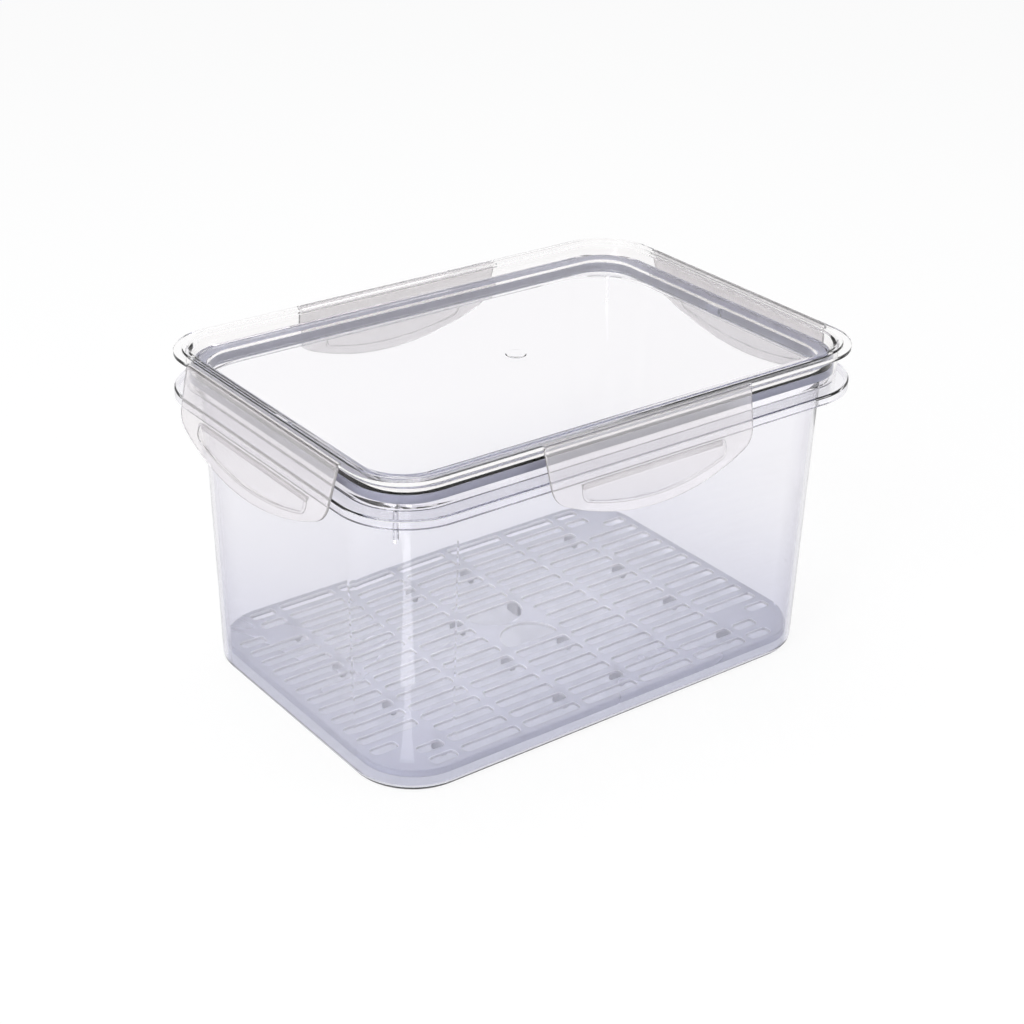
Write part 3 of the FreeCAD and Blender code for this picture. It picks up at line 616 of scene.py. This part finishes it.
def add_plate(mesh, half):
    grip_half = half - GRIP_MARGIN
    grip = bowed_loop(grip_half, grip_half, GRIP_TOP, GRIP_SHOULDER, GRIP_FOOT, GRIP_CORNER)
    plate = skin(mesh, plate_rings(half))
    hollow = skin(mesh, hollow_rings(grip))
    swell = skin(mesh, swell_rings(grip))
    for edges in ((plate[0], swell[0]), (plate[1], hollow[0]), (hollow[1],), (swell[1],)):
        cap(mesh, *edges)
    upright = Matrix.Rotation(math.radians(90), 4, "X")
    leaning = Matrix.Rotation(-WING_LEAN, 4, "X")
    bmesh.ops.transform(mesh, matrix=leaning @ upright, verts=mesh.verts)


# %% [markdown]
# The hinge bead is a round bar of the lid's plastic. The catch behind the grip is a bar with a sloped
# foot that hooks under the rim's edge. Both lie along X, and each wing is then turned to its side. The
# hinges' places come from the frame's joints, and each wing's length from its solid.

# %% Four wings
BEAD_RADIUS = 0.8 * MM
CATCH_CORNERS = ((-2.4, -21.1), (-3.65, -21.1), (-3.95, -23.4), (-2.4, -22.0))
HINGES = {joint["child"]: Vector(joint["pos_m"]) for joint in frame["joints"] if joint["type"] == "hinge"}


def add_bar(mesh, corners, half):
    """A bar along X from a side-on outline of (out, up) corners."""
    for end in skin(mesh, [[(x, out, up) for out, up in corners] for x in (-half, half)]):
        cap(mesh, end)


def add_bead(mesh, length):
    bead = bmesh.ops.create_cone(mesh, cap_ends=True, segments=20, radius1=BEAD_RADIUS,
                                 radius2=BEAD_RADIUS, depth=length)
    bmesh.ops.rotate(mesh, verts=bead["verts"], matrix=Matrix.Rotation(math.radians(90), 3, "Y"))
    for face in {face for vert in bead["verts"] for face in vert.link_faces}:
        face.material_index = 1


def wing_place(side):
    """The turn to a wing's side of the lid, its hinge's distance from the middle, and its length."""
    hinge = HINGES[f"wing_{side}"]
    low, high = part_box(f"wing_{side}")
    return math.atan2(hinge.x, -hinge.y), hinge.xy.length, max(high.x - low.x, high.y - low.y)


def turned_to(side):
    turn, reach, _ = wing_place(side)
    height = HINGES[f"wing_{side}"].z
    return Matrix.Rotation(turn, 4, "Z") @ Matrix.Translation((0, -reach, height))


def build_wing(side):
    length = wing_place(side)[2]
    half = length / 2 / MM
    mesh = bmesh.new()
    add_plate(mesh, half)
    add_bead(mesh, length)
    add_bar(mesh, [(out * MM, up * MM) for out, up in CATCH_CORNERS], (half - GRIP_MARGIN) * MM)
    bmesh.ops.transform(mesh, matrix=turned_to(side), verts=mesh.verts)
    finish_piece(mesh, f"wing_{side}_piece", (WING_PLASTIC_EDGE_SHADE, CLEAR_LID),
                 f"wing_{side}", f"wing_{side}")


SIDES = ("front", "right", "back", "left")
for side in SIDES:
    build_wing(side)

# %% [markdown]
# A living hinge is a film of the lid's own plastic. One strip joins each wing's bead to the lid's
# edge, and it is cut into steps across its width.

# %% Hinge films
FILM_LOW, FILM_HIGH = 0.52 * MM, 0.78 * MM
FILM_INNER, FILM_OUTER = 1.5 * MM, -0.1 * MM
FILM_END_GAP = 0.4 * MM
FILM_STEPS = 6


def build_film(side):
    half = wing_place(side)[2] / 2 - FILM_END_GAP
    rows = [FILM_INNER + (FILM_OUTER - FILM_INNER) * i / FILM_STEPS for i in range(FILM_STEPS + 1)]
    mesh = bmesh.new()
    add_bar(mesh, [(y, FILM_HIGH) for y in rows] + [(y, FILM_LOW) for y in reversed(rows)], half)
    place = turned_to(side)
    bmesh.ops.transform(mesh, matrix=place, verts=mesh.verts)
    bmesh.ops.recalc_face_normals(mesh, faces=mesh.faces)
    film = new_piece(mesh, f"hinge_film_{side}", (CLEAR_LID,))
    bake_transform(film)


for side in SIDES:
    build_film(side)

# %% [markdown]
# The studio is a white sweep. The world is plain white to the camera, in reflections and through the
# plastic, and lights the object at a lower, plain level, so the background never adds light to it.

# %% World
def white_world():
    world = bpy.data.worlds.new("studio")
    bpy.context.scene.world = world
    world.use_nodes = True
    tree = world.node_tree
    tree.nodes.clear()
    out = add(tree, "ShaderNodeOutputWorld")
    seen = add(tree, "ShaderNodeBackground", Color=(1, 1, 1, 1), Strength=1.0)
    lit = add(tree, "ShaderNodeBackground", Color=(0.97, 0.98, 1.0, 1), Strength=0.55)
    path = add(tree, "ShaderNodeLightPath").outputs
    straight = calculated(tree, "MAXIMUM", path["Is Camera Ray"], path["Is Transmission Ray"])
    white = calculated(tree, "MAXIMUM", straight, path["Is Glossy Ray"])
    mix = add(tree, "ShaderNodeMixShader")
    link(tree, white, mix.inputs[0])
    link(tree, lit.outputs[0], mix.inputs[1])
    link(tree, seen.outputs[0], mix.inputs[2])
    link(tree, mix.outputs[0], out.inputs["Surface"])
    print("world:", world.name)


white_world()

# %% [markdown]
# The floor is pale paper that keeps a trace of the object's shadow. It is mixed with plain white by
# the kind of ray that meets it: most for the camera, less in reflections and through the plastic. It
# lies a hair below the container's foot, again so that no two faces lie in one place.

# %% Floor
FLOOR_HALF = 8.0
FLOOR_DROP = 0.4 * MM
WHITE_SHARES = {"Is Camera Ray": 0.9, "Is Transmission Ray": 0.7, "Is Glossy Ray": 0.85}


def floor_paper():
    material = new_material("floor_paper")
    tree = material.node_tree
    out = add(tree, "ShaderNodeOutputMaterial")
    paper = add(tree, "ShaderNodeBsdfDiffuse", Color=(0.9, 0.9, 0.9, 1))
    white = add(tree, "ShaderNodeEmission", Color=(1, 1, 1, 1), Strength=1.0)
    path = add(tree, "ShaderNodeLightPath").outputs
    shares = [calculated(tree, "MULTIPLY", path[ray], share) for ray, share in WHITE_SHARES.items()]
    most = calculated(tree, "MAXIMUM", calculated(tree, "MAXIMUM", shares[0], shares[1]), shares[2])
    mix = add(tree, "ShaderNodeMixShader")
    link(tree, most, mix.inputs[0])
    link(tree, paper.outputs[0], mix.inputs[1])
    link(tree, white.outputs[0], mix.inputs[2])
    link(tree, mix.outputs[0], out.inputs["Surface"])
    return material


def studio_floor():
    mesh = bmesh.new()
    bmesh.ops.create_grid(mesh, x_segments=1, y_segments=1, size=FLOOR_HALF,
                          matrix=Matrix.Translation((0, 0, -FLOOR_DROP)))
    new_piece(mesh, "studio_floor", (floor_paper(),))


studio_floor()

# %% [markdown]
# Three large soft boxes light the object evenly: a key from the left, a cooler fill from the right
# and one overhead. Clear plastic takes most of its look from what it reflects, so they are wide.

# %% Soft boxes
AIM = Vector((0, 0, 80 * MM))


def rectangle_light(name, size, power, colour=(1, 1, 1)):
    light = bpy.data.lights.new(name, "AREA")
    light.shape = "RECTANGLE"
    light.size, light.size_y = size
    light.energy = power
    light.color = colour
    lamp = bpy.data.objects.new(name, light)
    bpy.context.scene.collection.objects.link(lamp)
    print("light:", name, round(power, 4), "W")
    return lamp


def soft_box(name, place, size, power, colour=(1, 1, 1), aim=AIM):
    lamp = rectangle_light(name, size, power, colour)
    lamp.location = place
    lamp.rotation_euler = (aim - Vector(place)).to_track_quat("-Z", "Y").to_euler()


soft_box("key_left", (-0.9, -0.35, 0.75), (0.5, 0.9), 9.0)
soft_box("fill_right", (0.9, -0.9, 0.5), (0.6, 0.8), 4.0, (0.93, 0.95, 1.0))
soft_box("top", (0.1, 0.3, 1.2), (1.0, 0.8), 6.0, aim=Vector((0, 0, 100 * MM)))

# %% [markdown]
# The near corner of the container mirrors an upright line of light. A wall that stands upright mirrors
# what lies low in front of it, so two narrow strips lie on the floor in front of the corner, facing
# up. Their radiance is chosen, and power follows as radiance times pi times area.

# %% Strips for the near corner
NEAR_CORNER = Vector((-119.6, -80.8, 1.0)) * MM
STRIP_TURN = math.radians(42)


def corner_strip(name, near, far, width, radiance):
    length = far - near
    lamp = rectangle_light(name, (width, length), radiance * math.pi * width * length)
    outwards = Vector((-math.sin(STRIP_TURN), -math.cos(STRIP_TURN), 0))
    lamp.location = NEAR_CORNER + outwards * (near + far) / 2
    lamp.rotation_euler = (math.radians(180), 0, -STRIP_TURN)
    lamp.visible_camera = False


corner_strip("corner_strip_far", 0.08, 0.28, 0.042, 3.4)
corner_strip("corner_strip_near", 0.02, 0.08, 0.016, 2.2)

# %% [markdown]
# The camera stands where the photograph was taken from. Its turn, tilt, roll and distance were fitted
# to the rim, the base and the lid's edge, so they are uneven numbers.

# %% Camera
CAMERA_TURN, CAMERA_TILT, CAMERA_ROLL = (math.radians(angle) for angle in (-37.256, 26.976, 1.163))
DISTANCE, SHIFT_RIGHT, SHIFT_UP = 1.035511, 0.001038, 0.066019


def photograph_camera():
    back = Vector((math.sin(CAMERA_TURN) * math.cos(CAMERA_TILT),
                   -math.cos(CAMERA_TURN) * math.cos(CAMERA_TILT), math.sin(CAMERA_TILT)))
    level = Vector((math.cos(CAMERA_TURN), math.sin(CAMERA_TURN), 0))
    upright = back.cross(level)
    right = level * math.cos(CAMERA_ROLL) + upright * math.sin(CAMERA_ROLL)
    up = upright * math.cos(CAMERA_ROLL) - level * math.sin(CAMERA_ROLL)
    data = bpy.data.cameras.new("camera")
    data.sensor_width = 36.0
    data.lens = 71.574
    data.clip_start, data.clip_end = 0.05, 20.0
    camera = bpy.data.objects.new("camera", data)
    turned = Matrix((right, up, back)).transposed().to_4x4()
    place = back * DISTANCE + right * SHIFT_RIGHT + up * SHIFT_UP
    camera.matrix_world = Matrix.Translation(place) @ turned
    bpy.context.scene.collection.objects.link(camera)
    bpy.context.scene.camera = camera
    print("camera at", [round(value, 3) for value in place])


photograph_camera()
bpy.context.scene.view_settings.view_transform = "Standard"
